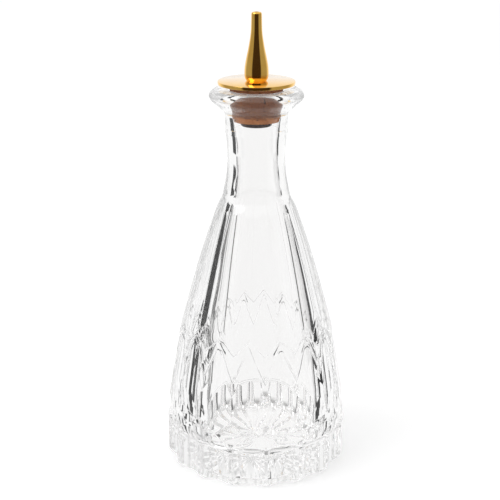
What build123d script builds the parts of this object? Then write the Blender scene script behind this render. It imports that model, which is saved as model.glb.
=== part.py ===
"""Cut-glass bitters bottle with a corked dasher top, in millimetres.

The bottle stands on Z = 0 with its axis on +Z. A sixteen-point foot carries a band of diamonds,
a tier of sixteen flat petals with a leaf cut on every ridge, a fluted cone and a waisted neck with
a thick flared lip. A star is cut under the foot. The dasher is a turned spout on a flanged disc,
whose tube carries the cork and ends in a retaining collar. The dasher lifts straight out of the
mouth.
"""
import os
from math import atan2, cos, degrees, pi, radians, sin, sqrt, tan

from build123d import *

# Glass heights, from the table up
foot_height = 15.5
band_height = 9.5
tier_height = 30.0
cone_height = 43.0
shoulder_height = 7.0
upper_neck_height = 10.0
neck_flare_height = 11.0
collar_height = 6.9
lip_height = 8.9

# Glass radii and steps from one radius to the next
foot_tip_radius = 33.9
foot_corner = 1.8
ledge_width = 0.6
tier_narrowing = 4.95
petal_arch_depth = 0.55
cone_top_radius = 14.7
neck_foot_radius = 11.95
waist_radius = 10.55
neck_top_flare = 0.55
collar_step = 0.3
lip_radius = 17.1
lip_top_inset = 1.8
lip_underside_flare = 0.9
lip_underside_rise = 1.3

# Cuts in the glass
point_count = 16
foot_point_width = 1.4
foot_scallop_depth = 3.8
foot_ledge_thickness = 1.0
leaf_foot_height = 35.0
leaf_top_height = 47.0
leaf_depth = 0.40
leaf_half_width = 4.0
flute_width = 2.4
flute_depth = 0.25
flute_from_panel_middle = 17.3  # degrees about the axis
flutes_per_side = 7
flute_overrun = 6.0
star_radius = 24.0
star_depth = 1.5
star_ray_depth = 0.7

# Hollow of the bottle
floor_thickness = 8.0
floor_corner = 6.0
lower_wall = 8.5
tier_wall = 7.1
cone_top_wall = 3.8
neck_wall = 2.85
neck_bore_top_below_lip = 29.8
mouth_round = 0.8

# Cork and its running clearance in the mouth
cork_foot_radius = 8.5
cork_flare = 1.15
cork_length = 12.0
cork_above_lip = 0.8
cork_clearance = 0.1

# Dasher metalwork
disc_radius = 14.0
disc_thickness = 1.35
disc_edge_round = 0.3
boss_height = 0.8
tube_radius = 3.0
tube_bore_radius = 1.6
collar_ring_radius = 5.75
collar_ring_thickness = 1.4
collar_ring_round = 0.35

# Spout
spout_height = 24.3
spout_tip_radius = 1.9
spout_neck_radius = 2.12
spout_belly_radius = 4.4
spout_foot_radius = 3.8
spout_tip_round = 0.8
spout_belly_height = 2.3
spout_shoulder_height = 17.0
spout_foot_height = 0.3
spout_orifice_radius = 0.8
spout_orifice_length = 9.0
spout_spigot_radius = 2.3
spout_spigot_length = 1.2

# Cutting tools run past the glass by this much
overrun = 2.0

# The two wide plain panels stand over the valleys after these points of the foot
wide_panel_points = (4, 12)

# Shares of the cone's height and of its narrowing, from its foot to its top
cone_shares = [(0.237, 0.214), (0.461, 0.420), (0.653, 0.614), (0.847, 0.817)]
# Shares of the shoulder's height and of its narrowing
shoulder_shares = [(0.30, 0.38), (0.58, 0.76)]
# Share of the lip's height where it is widest, and where its underside turns into its round edge
lip_middle_share = 0.72
lip_turn_shares = (0.50, 0.60)
# Shares of the spout's flank, between its belly and its shoulder
flank_shares = [(0.235, 0.10), (0.42, 0.33), (0.60, 0.58), (0.78, 0.80)]

# Levels worked out from the heights
band_foot_level = foot_height
band_top_level = band_foot_level + band_height
cone_foot_level = band_top_level + tier_height
cone_top_level = cone_foot_level + cone_height
neck_foot_level = cone_top_level + shoulder_height
waist_level = neck_foot_level + upper_neck_height
collar_foot_level = waist_level + neck_flare_height
collar_top_level = collar_foot_level + collar_height
glass_top_level = collar_top_level + lip_height

# Radii worked out from their neighbours
band_radius = foot_tip_radius - ledge_width
tier_top_radius = band_radius - tier_narrowing
cone_foot_radius = tier_top_radius - petal_arch_depth
neck_top_radius = waist_radius + neck_top_flare
collar_radius = neck_top_radius + collar_step
lip_top_radius = lip_radius - lip_top_inset
lip_underside_radius = collar_radius + lip_underside_flare
neck_bore_radius = waist_radius - neck_wall
cork_top_radius = cork_foot_radius + cork_flare
boss_radius = cork_top_radius

pitch = 2 * pi / point_count
chamber_wall_radius = band_radius - lower_wall
cork_top_level = glass_top_level + cork_above_lip
cork_foot_level = cork_top_level - cork_length
cork_taper = (cork_top_radius - cork_foot_radius) / cork_length
disc_foot_level = cork_top_level + boss_height
disc_top_level = disc_foot_level + disc_thickness


def turned(*edges):
    """Spin an outline, drawn with X as the radius and Y as the height, about the Z axis."""
    outline = Curve() + list(edges)
    return revolve(make_face(Plane.XZ * outline), Axis.Z)


def between(start, end, share):
    """Give the value that lies a share of the way from start to end."""
    return start + share * (end - start)


def stations(shares, low, high, low_level, high_level):
    """Turn shares of height and narrowing into outline points."""
    return [(between(low, high, narrowing), between(low_level, high_level, rise))
            for rise, narrowing in shares]


def ring_points(radius, level, step_share):
    """Give the corners of a level polygon, turned by a share of the pitch."""
    angles = [(index + step_share) * pitch for index in range(point_count)]
    return [(radius * cos(angle), radius * sin(angle), level) for angle in angles]


def belt(lower, upper, lower_turn, upper_turn):
    """Close the belt between two rings with flat four-sided or three-sided faces."""
    faces = []
    for index in range(point_count):
        after = (index + 1) % point_count
        if lower_turn == upper_turn:
            faces.append([lower[index], lower[after], upper[after], upper[index]])
        elif lower_turn < upper_turn:
            faces.append([lower[index], lower[after], upper[index]])
            faces.append([lower[after], upper[after], upper[index]])
        else:
            faces.append([upper[index], lower[index], upper[after]])
            faces.append([lower[index], lower[after], upper[after]])
    return faces


def closed_solid(faces):
    """Make a solid from flat faces that are given by their corners."""
    return Solid(Shell([Face(Wire.make_polygon(points, close=True)) for points in faces]))


def facet_form():
    """Build the sixteen-sided form that the lower glass is cut to.

    Its corners stand over the foot's points. Above the petals and below the band it stands clear
    of the glass, so that only the band and the petals are cut flat.
    """
    clear_radius = foot_tip_radius + overrun
    tier_slope = (band_radius - tier_top_radius) / tier_height
    petal_end_radius = tier_top_radius - tier_slope * overrun
    band_middle_level = band_foot_level + band_height / 2
    rings = [
        (clear_radius, -overrun, 0),
        (clear_radius, band_foot_level, 0),
        (band_radius, band_foot_level, 0),
        (band_radius, band_middle_level, 0.5),
        (band_radius, band_top_level, 0),
        (petal_end_radius, cone_foot_level + overrun, 0),
        (clear_radius, cone_foot_level + overrun, 0),
        (clear_radius, glass_top_level + overrun, 0),
    ]
    corners = [ring_points(radius, level, turn) for radius, level, turn in rings]
    faces = [corners[0][::-1], corners[-1]]
    for number in range(len(rings) - 1):
        faces += belt(corners[number], corners[number + 1], rings[number][2], rings[number + 1][2])
    return closed_solid(faces)


def cone_outline():
    """Give the outline of the cone, from its foot to its top."""
    return [
        (cone_foot_radius, cone_foot_level),
        *stations(cone_shares, cone_foot_radius, cone_top_radius, cone_foot_level, cone_top_level),
        (cone_top_radius, cone_top_level),
    ]


def glass_outside():
    """Turn the outer form of the glass, before its cuts."""
    next_radius, next_level = cone_outline()[1]
    cone_slope = (cone_foot_radius - next_radius) / (next_level - cone_foot_level)
    band_meets_cone = cone_foot_level - (band_radius - cone_foot_radius) / cone_slope
    lip_middle_level = between(collar_top_level, glass_top_level, lip_middle_share)
    lip_underside_level = collar_top_level + lip_underside_rise
    lip_turn_level = between(lip_underside_level, lip_middle_level, lip_turn_shares[0])
    lip_turn_radius = between(lip_underside_radius, lip_radius, lip_turn_shares[1])
    body = Polyline(
        (0, 0),
        (foot_tip_radius - foot_corner, 0),
        (foot_tip_radius, foot_corner),
        (foot_tip_radius, band_foot_level),
        (band_radius, band_foot_level),
        (band_radius, band_meets_cone),
        *cone_outline(),
    )
    shoulder = Spline(
        (cone_top_radius, cone_top_level),
        *stations(shoulder_shares, cone_top_radius, neck_foot_radius,
                  cone_top_level, neck_foot_level),
        (neck_foot_radius, neck_foot_level),
        (waist_radius, waist_level),
        (neck_top_radius, collar_foot_level),
    )
    step = Polyline(
        (neck_top_radius, collar_foot_level),
        (collar_radius, collar_foot_level),
        (collar_radius, collar_top_level),
        (lip_underside_radius, lip_underside_level),
        (lip_turn_radius, lip_turn_level),
    )
    lip = ThreePointArc(
        (lip_turn_radius, lip_turn_level),
        (lip_radius, lip_middle_level),
        (lip_top_radius, glass_top_level),
    )
    close = Polyline((lip_top_radius, glass_top_level), (0, glass_top_level), (0, 0))
    return turned(body, shoulder, step, lip, close)


def glass_hollow():
    """Turn the space inside the glass: the chamber, the neck's bore and the tapered mouth."""
    mouth_radius = cork_top_radius - cork_taper * cork_above_lip + cork_clearance
    taper_foot_level = cork_foot_level - collar_ring_thickness - cork_clearance
    taper_foot_radius = mouth_radius - cork_taper * (glass_top_level - taper_foot_level)
    bore_top_level = glass_top_level - neck_bore_top_below_lip
    chamber_top_radius = cone_top_radius - cone_top_wall
    tier_inside_radius = cone_foot_radius - tier_wall
    top = glass_top_level + overrun
    chamber = FilletPolyline(
        (0, floor_thickness),
        (chamber_wall_radius, floor_thickness),
        (chamber_wall_radius, band_top_level),
        (tier_inside_radius, cone_foot_level),
        (chamber_top_radius, cone_top_level),
        (neck_bore_radius, neck_foot_level),
        (neck_bore_radius, bore_top_level),
        (taper_foot_radius, taper_foot_level),
        (mouth_radius, glass_top_level),
        radius=[floor_corner, floor_corner, floor_corner, floor_corner,
                mouth_round, mouth_round, mouth_round],
    )
    rim = Polyline(
        (mouth_radius, glass_top_level),
        (mouth_radius + overrun * cork_taper, top),
        (0, top),
        (0, floor_thickness),
    )
    return turned(chamber, rim)


def around(cutter, angles):
    """Repeat a cutter about the axis at a list of angles in radians."""
    return [cutter.rotate(Axis.Z, degrees(angle)) for angle in angles]


def foot_scallops():
    """Cut the foot into points, each valley an upright hollow of one radius."""
    half_chord = foot_tip_radius * sin(pitch / 2) - foot_point_width / 2
    valley_radius = foot_tip_radius - foot_scallop_depth
    depth = foot_tip_radius * cos(pitch / 2) - valley_radius
    radius = (half_chord**2 + depth**2) / (2 * depth)
    height = band_foot_level - foot_ledge_thickness + overrun
    cutter = Pos(valley_radius + radius, 0, height / 2 - overrun) * Cylinder(radius, height)
    return around(cutter, [(index + 0.5) * pitch for index in range(point_count)])


def leaf_cuts():
    """Cut a hollow leaf on each ridge between the petals, with a wheel's round edge."""
    tilt = atan2(band_radius - tier_top_radius, tier_height)
    length = (leaf_top_height - leaf_foot_height) / cos(tilt)
    wheel_radius = ((length / 2)**2 + leaf_depth**2) / (2 * leaf_depth)
    middle_level = (leaf_foot_height + leaf_top_height) / 2
    ridge_radius = band_radius - tan(tilt) * (middle_level - band_top_level)
    reach = wheel_radius - leaf_depth
    wheel = Cylinder(wheel_radius, 2 * leaf_half_width).rotate(Axis.X, 90)
    cutter = Pos(ridge_radius + reach * cos(tilt), 0, middle_level + reach * sin(tilt)) * wheel
    return around(cutter, [index * pitch for index in range(point_count)])


def flute_cuts():
    """Cut the long shallow flutes, which follow the cone and run out at both its ends."""
    radius = ((flute_width / 2)**2 + flute_depth**2) / (2 * flute_depth)
    reach = radius - flute_depth
    outline = cone_outline()
    points = []
    for number, (cone_radius, level) in enumerate(outline):
        lower = outline[max(number - 1, 0)]
        upper = outline[min(number + 1, len(outline) - 1)]
        lean = atan2(lower[0] - upper[0], upper[1] - lower[1])
        points.append(Vector(cone_radius + reach * cos(lean), 0, level + reach * sin(lean)))
    foot_run = (points[0] - points[1]).normalized() * flute_overrun
    top_run = (points[-1] - points[-2]).normalized() * flute_overrun
    path = Spline(points[0] + foot_run, *points, points[-1] + top_run)
    cutter = sweep(Plane(path @ 0, z_dir=path % 0) * Circle(radius), path)
    offset = radians(flute_from_panel_middle)
    step = (pi - 2 * offset) / (flutes_per_side - 1)
    angles = [(point + 0.5) * pitch + offset + index * step
              for point in wide_panel_points for index in range(flutes_per_side)]
    return around(cutter, angles)


def base_star():
    """Cut the star under the foot, with a ray towards every point and a flat rim round it."""
    rays = ring_points(star_radius, star_ray_depth, 0)
    ridges = ring_points(star_radius, 0, 0.5)
    rim = [point for pair in zip(rays, ridges) for point in pair]
    below = [(across, along, -overrun) for across, along, _ in rim]
    middle = (0, 0, star_depth)
    faces = [below[::-1]]
    for index in range(len(rim)):
        after = (index + 1) % len(rim)
        faces.append([rim[index], rim[after], middle])
        faces.append([below[index], below[after], rim[after], rim[index]])
    return closed_solid(faces)


def glass_bottle():
    """Make the bottle as one piece of glass."""
    outside = glass_outside() & facet_form()
    cuts = foot_scallops() + leaf_cuts() + flute_cuts()
    return outside - glass_hollow() - cuts - base_star()


def pour_spout():
    """Turn the spout, with its drip orifice, its wider bore and the spigot that holds it."""
    foot = disc_top_level
    tip = foot + spout_height
    belly_level = foot + spout_belly_height
    shoulder_level = foot + spout_shoulder_height
    flank = stations(flank_shares, spout_belly_radius, spout_neck_radius,
                     belly_level, shoulder_level)
    outline = Spline(
        (spout_foot_radius, foot + spout_foot_height),
        (spout_belly_radius, belly_level),
        *flank,
        (spout_neck_radius, shoulder_level),
        (spout_tip_radius, tip - spout_tip_round),
    )
    nose_inset = spout_tip_round * (1 - sqrt(0.5))
    nose = ThreePointArc(
        (spout_tip_radius, tip - spout_tip_round),
        (spout_tip_radius - nose_inset, tip - nose_inset),
        (spout_tip_radius - spout_tip_round, tip),
    )
    rest = Polyline(
        (spout_tip_radius - spout_tip_round, tip),
        (spout_orifice_radius, tip),
        (spout_orifice_radius, tip - spout_orifice_length),
        (tube_bore_radius, tip - spout_orifice_length - tube_bore_radius + spout_orifice_radius),
        (tube_bore_radius, foot - spout_spigot_length),
        (spout_spigot_radius, foot - spout_spigot_length),
        (spout_spigot_radius, foot),
        (spout_foot_radius, foot),
        (spout_foot_radius, foot + spout_foot_height),
    )
    return turned(outline, nose, rest)


def cap_flange():
    """Turn the disc, its low boss and the tube that carries the cork and the collar."""
    tube_foot = cork_foot_level - collar_ring_thickness
    socket_foot = disc_top_level - spout_spigot_length
    outline = Polyline(
        (tube_bore_radius, tube_foot),
        (tube_radius, tube_foot),
        (tube_radius, cork_top_level),
        (boss_radius, cork_top_level),
        (boss_radius, disc_foot_level),
        (disc_radius - disc_edge_round, disc_foot_level),
        (disc_radius, disc_foot_level + disc_edge_round),
        (disc_radius, disc_top_level - disc_edge_round),
        (disc_radius - disc_edge_round, disc_top_level),
        (spout_spigot_radius, disc_top_level),
        (spout_spigot_radius, socket_foot),
        (tube_bore_radius, socket_foot),
        (tube_bore_radius, tube_foot),
    )
    return turned(outline)


def cork_sleeve():
    """Turn the tapered cork, bored for the tube."""
    outline = Polyline(
        (tube_radius, cork_foot_level),
        (cork_foot_radius, cork_foot_level),
        (cork_top_radius, cork_top_level),
        (tube_radius, cork_top_level),
        (tube_radius, cork_foot_level),
    )
    return turned(outline)


def retaining_collar():
    """Turn the ring on the tube's end that keeps the cork up."""
    foot = cork_foot_level - collar_ring_thickness
    outline = Polyline(
        (tube_radius, foot),
        (collar_ring_radius - collar_ring_round, foot),
        (collar_ring_radius, foot + collar_ring_round),
        (collar_ring_radius, cork_foot_level),
        (tube_radius, cork_foot_level),
        (tube_radius, foot),
    )
    return turned(outline)


pieces = {
    "glass_bottle": glass_bottle,
    "pour_spout": pour_spout,
    "cap_flange": cap_flange,
    "cork_sleeve": cork_sleeve,
    "retaining_collar": retaining_collar,
}

os.makedirs("parts", exist_ok=True)
for name, make in pieces.items():
    export_step(make(), f"parts/{name}.step")
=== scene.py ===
"""Looks of a cut-glass bitters bottle with a corked dasher top.

The glass is one closed mesh. Half of it is shaped by rule, with its star, foot points, diamond
band, petals, leaf cuts, ribbon and flutes, and a Geometry Nodes tree repeats it around the axis.
The dasher's metalwork and cork are turned from outlines. The sizes of both are in millimetres and
the meshes in metres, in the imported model's frame, with the bottle on Z = 0 and its axis on +Z.
"""

import logging
from collections.abc import Callable
from dataclasses import dataclass
from enum import Enum
from math import atan2, cos, hypot, pi, radians, sin, sqrt, tan

import bmesh
import bpy
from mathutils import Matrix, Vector, noise

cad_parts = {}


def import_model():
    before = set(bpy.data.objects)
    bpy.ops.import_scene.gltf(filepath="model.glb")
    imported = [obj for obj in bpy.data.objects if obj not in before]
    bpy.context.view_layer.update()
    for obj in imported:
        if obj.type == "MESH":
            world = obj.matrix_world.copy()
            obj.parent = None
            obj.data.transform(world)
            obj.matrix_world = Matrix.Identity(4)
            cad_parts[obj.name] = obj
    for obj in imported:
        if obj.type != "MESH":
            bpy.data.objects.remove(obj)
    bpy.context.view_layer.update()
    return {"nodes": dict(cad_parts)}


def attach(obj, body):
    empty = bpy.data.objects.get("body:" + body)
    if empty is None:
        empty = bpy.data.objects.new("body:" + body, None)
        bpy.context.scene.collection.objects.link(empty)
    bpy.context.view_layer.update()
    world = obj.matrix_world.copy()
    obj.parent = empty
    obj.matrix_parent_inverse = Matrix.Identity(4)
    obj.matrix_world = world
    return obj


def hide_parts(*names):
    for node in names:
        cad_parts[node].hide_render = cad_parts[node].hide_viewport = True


MM = 0.001
ON_AXIS = 1e-7
QUARTER_ARC_BULGE = 0.207
MERGE_DISTANCE = 0.002 * MM
SLIVER_LENGTH = 0.001 * MM
SEAM_DISTANCE = 0.003 * MM

# A Mix node's colour sockets share their names with its other kinds, so they go by number.
MIX_FACTOR, MIX_FIRST, MIX_SECOND, MIX_RESULT = 0, 6, 7, 2

log = logging.getLogger("bitters_bottle")

Point = tuple[float, float]
Station = tuple[float, float, float]
Range = tuple[float, float]
Colour = tuple[float, float, float, float]
Value = bpy.types.NodeSocket | float
Shade = bpy.types.NodeSocket | Colour
Outline = Callable[[float], Point]
AddRow = Callable[[Outline, float], None]


class Ray(Enum):
    """The kinds of ray that the stage answers apart, by the names of their sockets."""

    CAMERA = "Is Camera Ray"
    REFLECTED = "Is Glossy Ray"
    THROUGH_GLASS = "Is Transmission Ray"


def grey(value: float) -> Colour:
    """Give a neutral colour."""
    return value, value, value, 1.0


def between(start: float, end: float, share: float) -> float:
    """Give the value that lies a share of the way from start to end."""
    return start + share * (end - start)


def soft_min(first: float, second: float, width: float) -> float:
    """Give the smaller of two values, with the crease between them rounded over a width."""
    gap = max(width - abs(first - second), 0.0) / width
    return min(first, second) - gap * gap * width / 4


def smooth_through(points: list[Point], steps: int) -> list[Point]:
    """Run a smooth curve through outline points.

    Args:
        points: The points, in order.
        steps: The number of pieces between two points.

    Returns:
        The points of the curve, with the given points among them.
    """
    ends = [points[0], *points, points[-1]]
    curve = []
    for index in range(len(points) - 1):
        before, start, end, after = ends[index:index + 4]
        for step in range(steps):
            t = step / steps
            curve.append(tuple(
                0.5 * (2 * b + (c - a) * t + (2 * a - 5 * b + 4 * c - d) * t * t
                       + (3 * b - a - 3 * c + d) * t**3)
                for a, b, c, d in zip(before, start, end, after)
            ))
    curve.append(points[-1])
    return curve


def arc_between(start: Point, end: Point, bulge: float, steps: int) -> list[Point]:
    """Bend a circular arc from one outline point to another.

    Args:
        start: Where the arc starts.
        end: Where the arc ends.
        bulge: The arc's height over its chord, to the left of the way it runs, as a share of it.
        steps: The number of pieces.

    Returns:
        The arc's points, both ends among them.
    """
    along = (end[0] - start[0], end[1] - start[1])
    half_turn = 2 * atan2(2 * bulge, 1)
    middle = ((start[0] + end[0]) / 2, (start[1] + end[1]) / 2)
    back = 1 / (2 * tan(half_turn))
    centre = (middle[0] + along[1] * back, middle[1] - along[0] * back)
    points = []
    for step in range(steps + 1):
        angle = -2 * half_turn * step / steps
        dx, dy = start[0] - centre[0], start[1] - centre[1]
        points.append((centre[0] + dx * cos(angle) - dy * sin(angle),
                       centre[1] + dx * sin(angle) + dy * cos(angle)))
    return points


def mesh_piece(name: str, mesh: bpy.types.Mesh) -> bpy.types.Object:
    """Put a mesh in the scene as a piece at the origin.

    Args:
        name: The piece's name.
        mesh: Its mesh.

    Returns:
        The piece.
    """
    piece = bpy.data.objects.new(name, mesh)
    bpy.context.scene.collection.objects.link(piece)
    return piece


def face_outwards(mesh: bpy.types.Mesh) -> None:
    """Turn every face of a closed mesh to point out of the solid.

    Args:
        mesh: The mesh, which is changed in place.
    """
    shape = bmesh.new()
    shape.from_mesh(mesh)
    bmesh.ops.recalc_face_normals(shape, faces=shape.faces)
    if shape.calc_volume(signed=True) < 0:
        bmesh.ops.reverse_faces(shape, faces=shape.faces)
    shape.to_mesh(mesh)
    shape.free()


def smooth_shaded(mesh: bpy.types.Mesh, crease: float = radians(35)) -> None:
    """Shade a mesh smooth, with sharp edges where its faces turn by more than an angle."""
    mesh.shade_smooth()
    mesh.set_sharp_from_angle(angle=crease)


def turned_piece(name: str, outline: list[Point], segments: int) -> bpy.types.Object:
    """Spin a closed outline about the Z axis.

    Args:
        name: The piece's name.
        outline: Points of radius and height, the outside on the right of the way they run, that
            go round a ring or start and end on the axis.
        segments: The number of faces around the axis.

    Returns:
        The piece, with its normals pointing out.
    """
    shape = bmesh.new()
    rings = []
    for radius, level in outline:
        if radius < ON_AXIS:
            rings.append([shape.verts.new((0.0, 0.0, level))] * segments)
            continue
        angles = [2 * pi * index / segments for index in range(segments)]
        rings.append([shape.verts.new((radius * cos(a), radius * sin(a), level)) for a in angles])
    closed = outline[0][0] > ON_AXIS
    for number in range(len(rings) if closed else len(rings) - 1):
        lower, upper = rings[number], rings[(number + 1) % len(rings)]
        for index in range(segments):
            after = (index + 1) % segments
            corners = dict.fromkeys([lower[index], lower[after], upper[after], upper[index]])
            if len(corners) > 2:
                shape.faces.new(list(corners))
    bmesh.ops.recalc_face_normals(shape, faces=shape.faces)
    mesh = bpy.data.meshes.new(name)
    shape.to_mesh(mesh)
    shape.free()
    smooth_shaded(mesh)
    return mesh_piece(name, mesh)


class Tree:
    """A short way to place and join nodes."""

    def __init__(self, tree: bpy.types.NodeTree) -> None:
        """Take over a tree and empty it."""
        self.tree = tree
        tree.nodes.clear()

    def add(self, kind: str, settings: dict | None = None, **inputs: object) -> bpy.types.Node:
        """Place a shader node, its type given without the ShaderNode prefix."""
        return self.place("ShaderNode" + kind, settings, **inputs)

    def place(self, kind: str, settings: dict | None = None, **inputs: object) -> bpy.types.Node:
        """Place a node.

        Args:
            kind: The node's type.
            settings: The node's own properties.
            inputs: Values or sockets for its inputs, by name with _ for spaces, or by in0, in1.

        Returns:
            The node.
        """
        node = self.tree.nodes.new(kind)
        for key, value in (settings or {}).items():
            setattr(node, key, value)
        for key, value in inputs.items():
            number = key[2:] if key.startswith("in") else ""
            label = int(number) if number.isdigit() else key.replace("_", " ")
            self.feed(node.inputs[label], value)
        return node

    def feed(self, socket: bpy.types.NodeSocket, value: object) -> None:
        """Link a socket to an input, or set the input's value.

        Args:
            socket: The input.
            value: The socket to link, or the value to set.
        """
        if isinstance(value, bpy.types.NodeSocket):
            self.tree.links.new(value, socket)
        else:
            socket.default_value = value

    def maths(self, operation: str, *values: Value) -> bpy.types.NodeSocket:
        """Add a Math node and give its output."""
        inputs = {f"in{index}": value for index, value in enumerate(values)}
        return self.add("Math", {"operation": operation}, **inputs).outputs[0]

    def eased(self, value: Value, low: float, high: float) -> bpy.types.NodeSocket:
        """Ease a value from 0 at low to 1 at high, where high may be the smaller one.

        Args:
            value: The value to ease.
            low: Where the result is 0.
            high: Where the result is 1.

        Returns:
            The eased value's socket.
        """
        node = self.add("MapRange", {"interpolation_type": "SMOOTHSTEP"}, Value=value)
        node.inputs["From Min"].default_value = low
        node.inputs["From Max"].default_value = high
        return node.outputs["Result"]

    def blend(self, factor: Value, first: Shade, second: Shade) -> bpy.types.NodeSocket:
        """Mix two colours and give the result.

        Args:
            factor: The share of the second colour.
            first: The colour at a factor of 0.
            second: The colour at a factor of 1.

        Returns:
            The mixed colour's socket.
        """
        node = self.add("Mix", {"data_type": "RGBA"})
        self.feed(node.inputs[MIX_FACTOR], factor)
        self.feed(node.inputs[MIX_FIRST], first)
        self.feed(node.inputs[MIX_SECOND], second)
        return node.outputs[MIX_RESULT]


def new_material(name: str) -> tuple[bpy.types.Material, Tree]:
    """Make a material with an empty tree.

    Args:
        name: The material's name.

    Returns:
        The material and its tree.
    """
    material = bpy.data.materials.new(name)
    material.use_nodes = True
    return material, Tree(material.node_tree)


def finish_material(tree: Tree, shader: bpy.types.Node) -> None:
    """Join a shader to the material's output."""
    tree.add("OutputMaterial", Surface=shader.outputs[0])


@dataclass(frozen=True)
class ClearGlass:
    """Clear pressed glass with a faint waviness from the mould."""

    ior: float = 1.51
    tint: Colour = (1.0, 0.998, 0.996, 1.0)
    ripple_scale: float = 90.0
    ripple_detail: float = 1.0
    ripple: float = 0.015 * MM

    def material(self) -> bpy.types.Material:
        """Make the material.

        Returns:
            The material.
        """
        material, tree = new_material("clear_glass")
        place = tree.add("TexCoord").outputs["Object"]
        waves = tree.add("TexNoise", Vector=place, Scale=self.ripple_scale,
                         Detail=self.ripple_detail)
        bump = tree.add("Bump", Height=waves.outputs[0], Distance=self.ripple, Strength=1.0)
        glass = tree.add("BsdfPrincipled", Base_Color=self.tint, Roughness=0.0, IOR=self.ior,
                         Transmission_Weight=1.0, Normal=bump.outputs[0])
        finish_material(tree, glass)
        return material


@dataclass(frozen=True)
class PolishedGold:
    """Mirror-polished gold plating with faint turning marks."""

    colour: Colour = (1.0, 0.60, 0.11, 1.0)
    deep: Colour = (0.94, 0.52, 0.07, 1.0)
    cloud_scale: float = 140.0
    cloud_detail: float = 3.0
    cloud_edges: Range = (0.35, 0.7)
    roughness: float = 0.04
    cloud_roughness: float = 0.05
    lacquer: float = 0.8
    lacquer_roughness: float = 0.02

    def material(self) -> bpy.types.Material:
        """Make the material.

        Returns:
            The material.
        """
        material, tree = new_material("polished_gold")
        place = tree.add("TexCoord").outputs["Object"]
        cloud = tree.add("TexNoise", Vector=place, Scale=self.cloud_scale,
                         Detail=self.cloud_detail).outputs[0]
        colour = tree.blend(tree.eased(cloud, *self.cloud_edges), self.colour, self.deep)
        rough = tree.maths("MULTIPLY_ADD", cloud, self.cloud_roughness, self.roughness)
        gold = tree.add("BsdfPrincipled", Base_Color=colour, Metallic=1.0, Roughness=rough,
                        Coat_Weight=self.lacquer, Coat_Roughness=self.lacquer_roughness)
        finish_material(tree, gold)
        return material


@dataclass(frozen=True)
class NaturalCork:
    """Natural cork with pale grain, brown flecks and dark pores, and painted shade that darkens its
    upper part under the flange.
    """

    light: Colour = (0.92, 0.38, 0.14, 1.0)
    dark: Colour = (0.70, 0.25, 0.09, 1.0)
    # Painted shade: the colour that the cork's upper part is darkened towards, where the flange
    # shades it.
    painted_shade: Colour = (0.25, 0.09, 0.045, 1.0)
    pore: Colour = (0.05, 0.018, 0.008, 1.0)
    grain_scale: float = 420.0
    grain_detail: float = 6.0
    grain_roughness: float = 0.7
    grain_edges: Range = (0.3, 0.7)
    pore_scale: float = 700.0
    pore_edges: Range = (0.32, 0.12)
    pore_grain: Range = (0.45, 0.62)
    # Where the painted shade on the upper cork comes in, how strong it is, and how far its edge
    # wavers with the grain.
    painted_shade_from: float = 132.0
    painted_shade_to: float = 134.5
    painted_shade_strength: float = 0.8
    painted_shade_sway: float = 2.0
    roughness: float = 0.85
    relief: float = 0.25
    relief_strength: float = 0.6

    def material(self) -> bpy.types.Material:
        """Make the material.

        Returns:
            The material.
        """
        material, tree = new_material("cork")
        place = tree.add("TexCoord").outputs["Object"]
        grain = tree.add("TexNoise", Vector=place, Scale=self.grain_scale,
                         Detail=self.grain_detail, Roughness=self.grain_roughness).outputs[0]
        fleck = tree.add("TexVoronoi", Vector=place, Scale=self.pore_scale, Randomness=1.0)
        pores = tree.maths("MULTIPLY", tree.eased(fleck.outputs["Distance"], *self.pore_edges),
                           tree.eased(grain, *self.pore_grain))
        base = tree.blend(tree.eased(grain, *self.grain_edges), self.light, self.dark)
        # Painted shade: the cork darkens towards its top, where the flange shades it, along an edge
        # that wavers with the grain.
        level = tree.add("SeparateXYZ", Vector=place).outputs["Z"]
        level = tree.maths("SUBTRACT", level, self.painted_shade_sway / 2 * MM)
        level = tree.maths("MULTIPLY_ADD", grain, self.painted_shade_sway * MM, level)
        painted_shade_mask = tree.eased(level, self.painted_shade_from * MM, self.painted_shade_to * MM)
        base = tree.blend(tree.maths("MULTIPLY", painted_shade_mask, self.painted_shade_strength), base, self.painted_shade)
        colour = tree.blend(pores, base, self.pore)
        height = tree.maths("SUBTRACT", grain, pores)
        bump = tree.add("Bump", Height=height, Distance=self.relief * MM,
                        Strength=self.relief_strength)
        cork = tree.add("BsdfPrincipled", Base_Color=colour, Roughness=self.roughness,
                        Normal=bump.outputs[0])
        finish_material(tree, cork)
        return material


@dataclass(frozen=True)
class DarkMetal:
    """Dark polished metal for the collar under the cork."""

    colour: Colour = (0.06, 0.045, 0.04, 1.0)
    metallic: float = 0.9
    cloud_scale: float = 260.0
    cloud_detail: float = 3.0
    roughness: float = 0.12
    cloud_roughness: float = 0.12

    def material(self) -> bpy.types.Material:
        """Make the material.

        Returns:
            The material.
        """
        material, tree = new_material("dark_metal")
        place = tree.add("TexCoord").outputs["Object"]
        cloud = tree.add("TexNoise", Vector=place, Scale=self.cloud_scale,
                         Detail=self.cloud_detail).outputs[0]
        rough = tree.maths("MULTIPLY_ADD", cloud, self.cloud_roughness, self.roughness)
        metal = tree.add("BsdfPrincipled", Base_Color=self.colour, Metallic=self.metallic,
                         Roughness=rough)
        finish_material(tree, metal)
        return material


@dataclass(frozen=True)
class Column:
    """Where a column of the glass's mesh runs, as shares of the way between landmarks.

    The section counts petals low on the glass and flutes above them, and a span is the part of a
    section between two landmarks.
    """

    section: int
    facet_span: int
    facet_share: float
    flute_span: int
    flute_share: float


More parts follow.
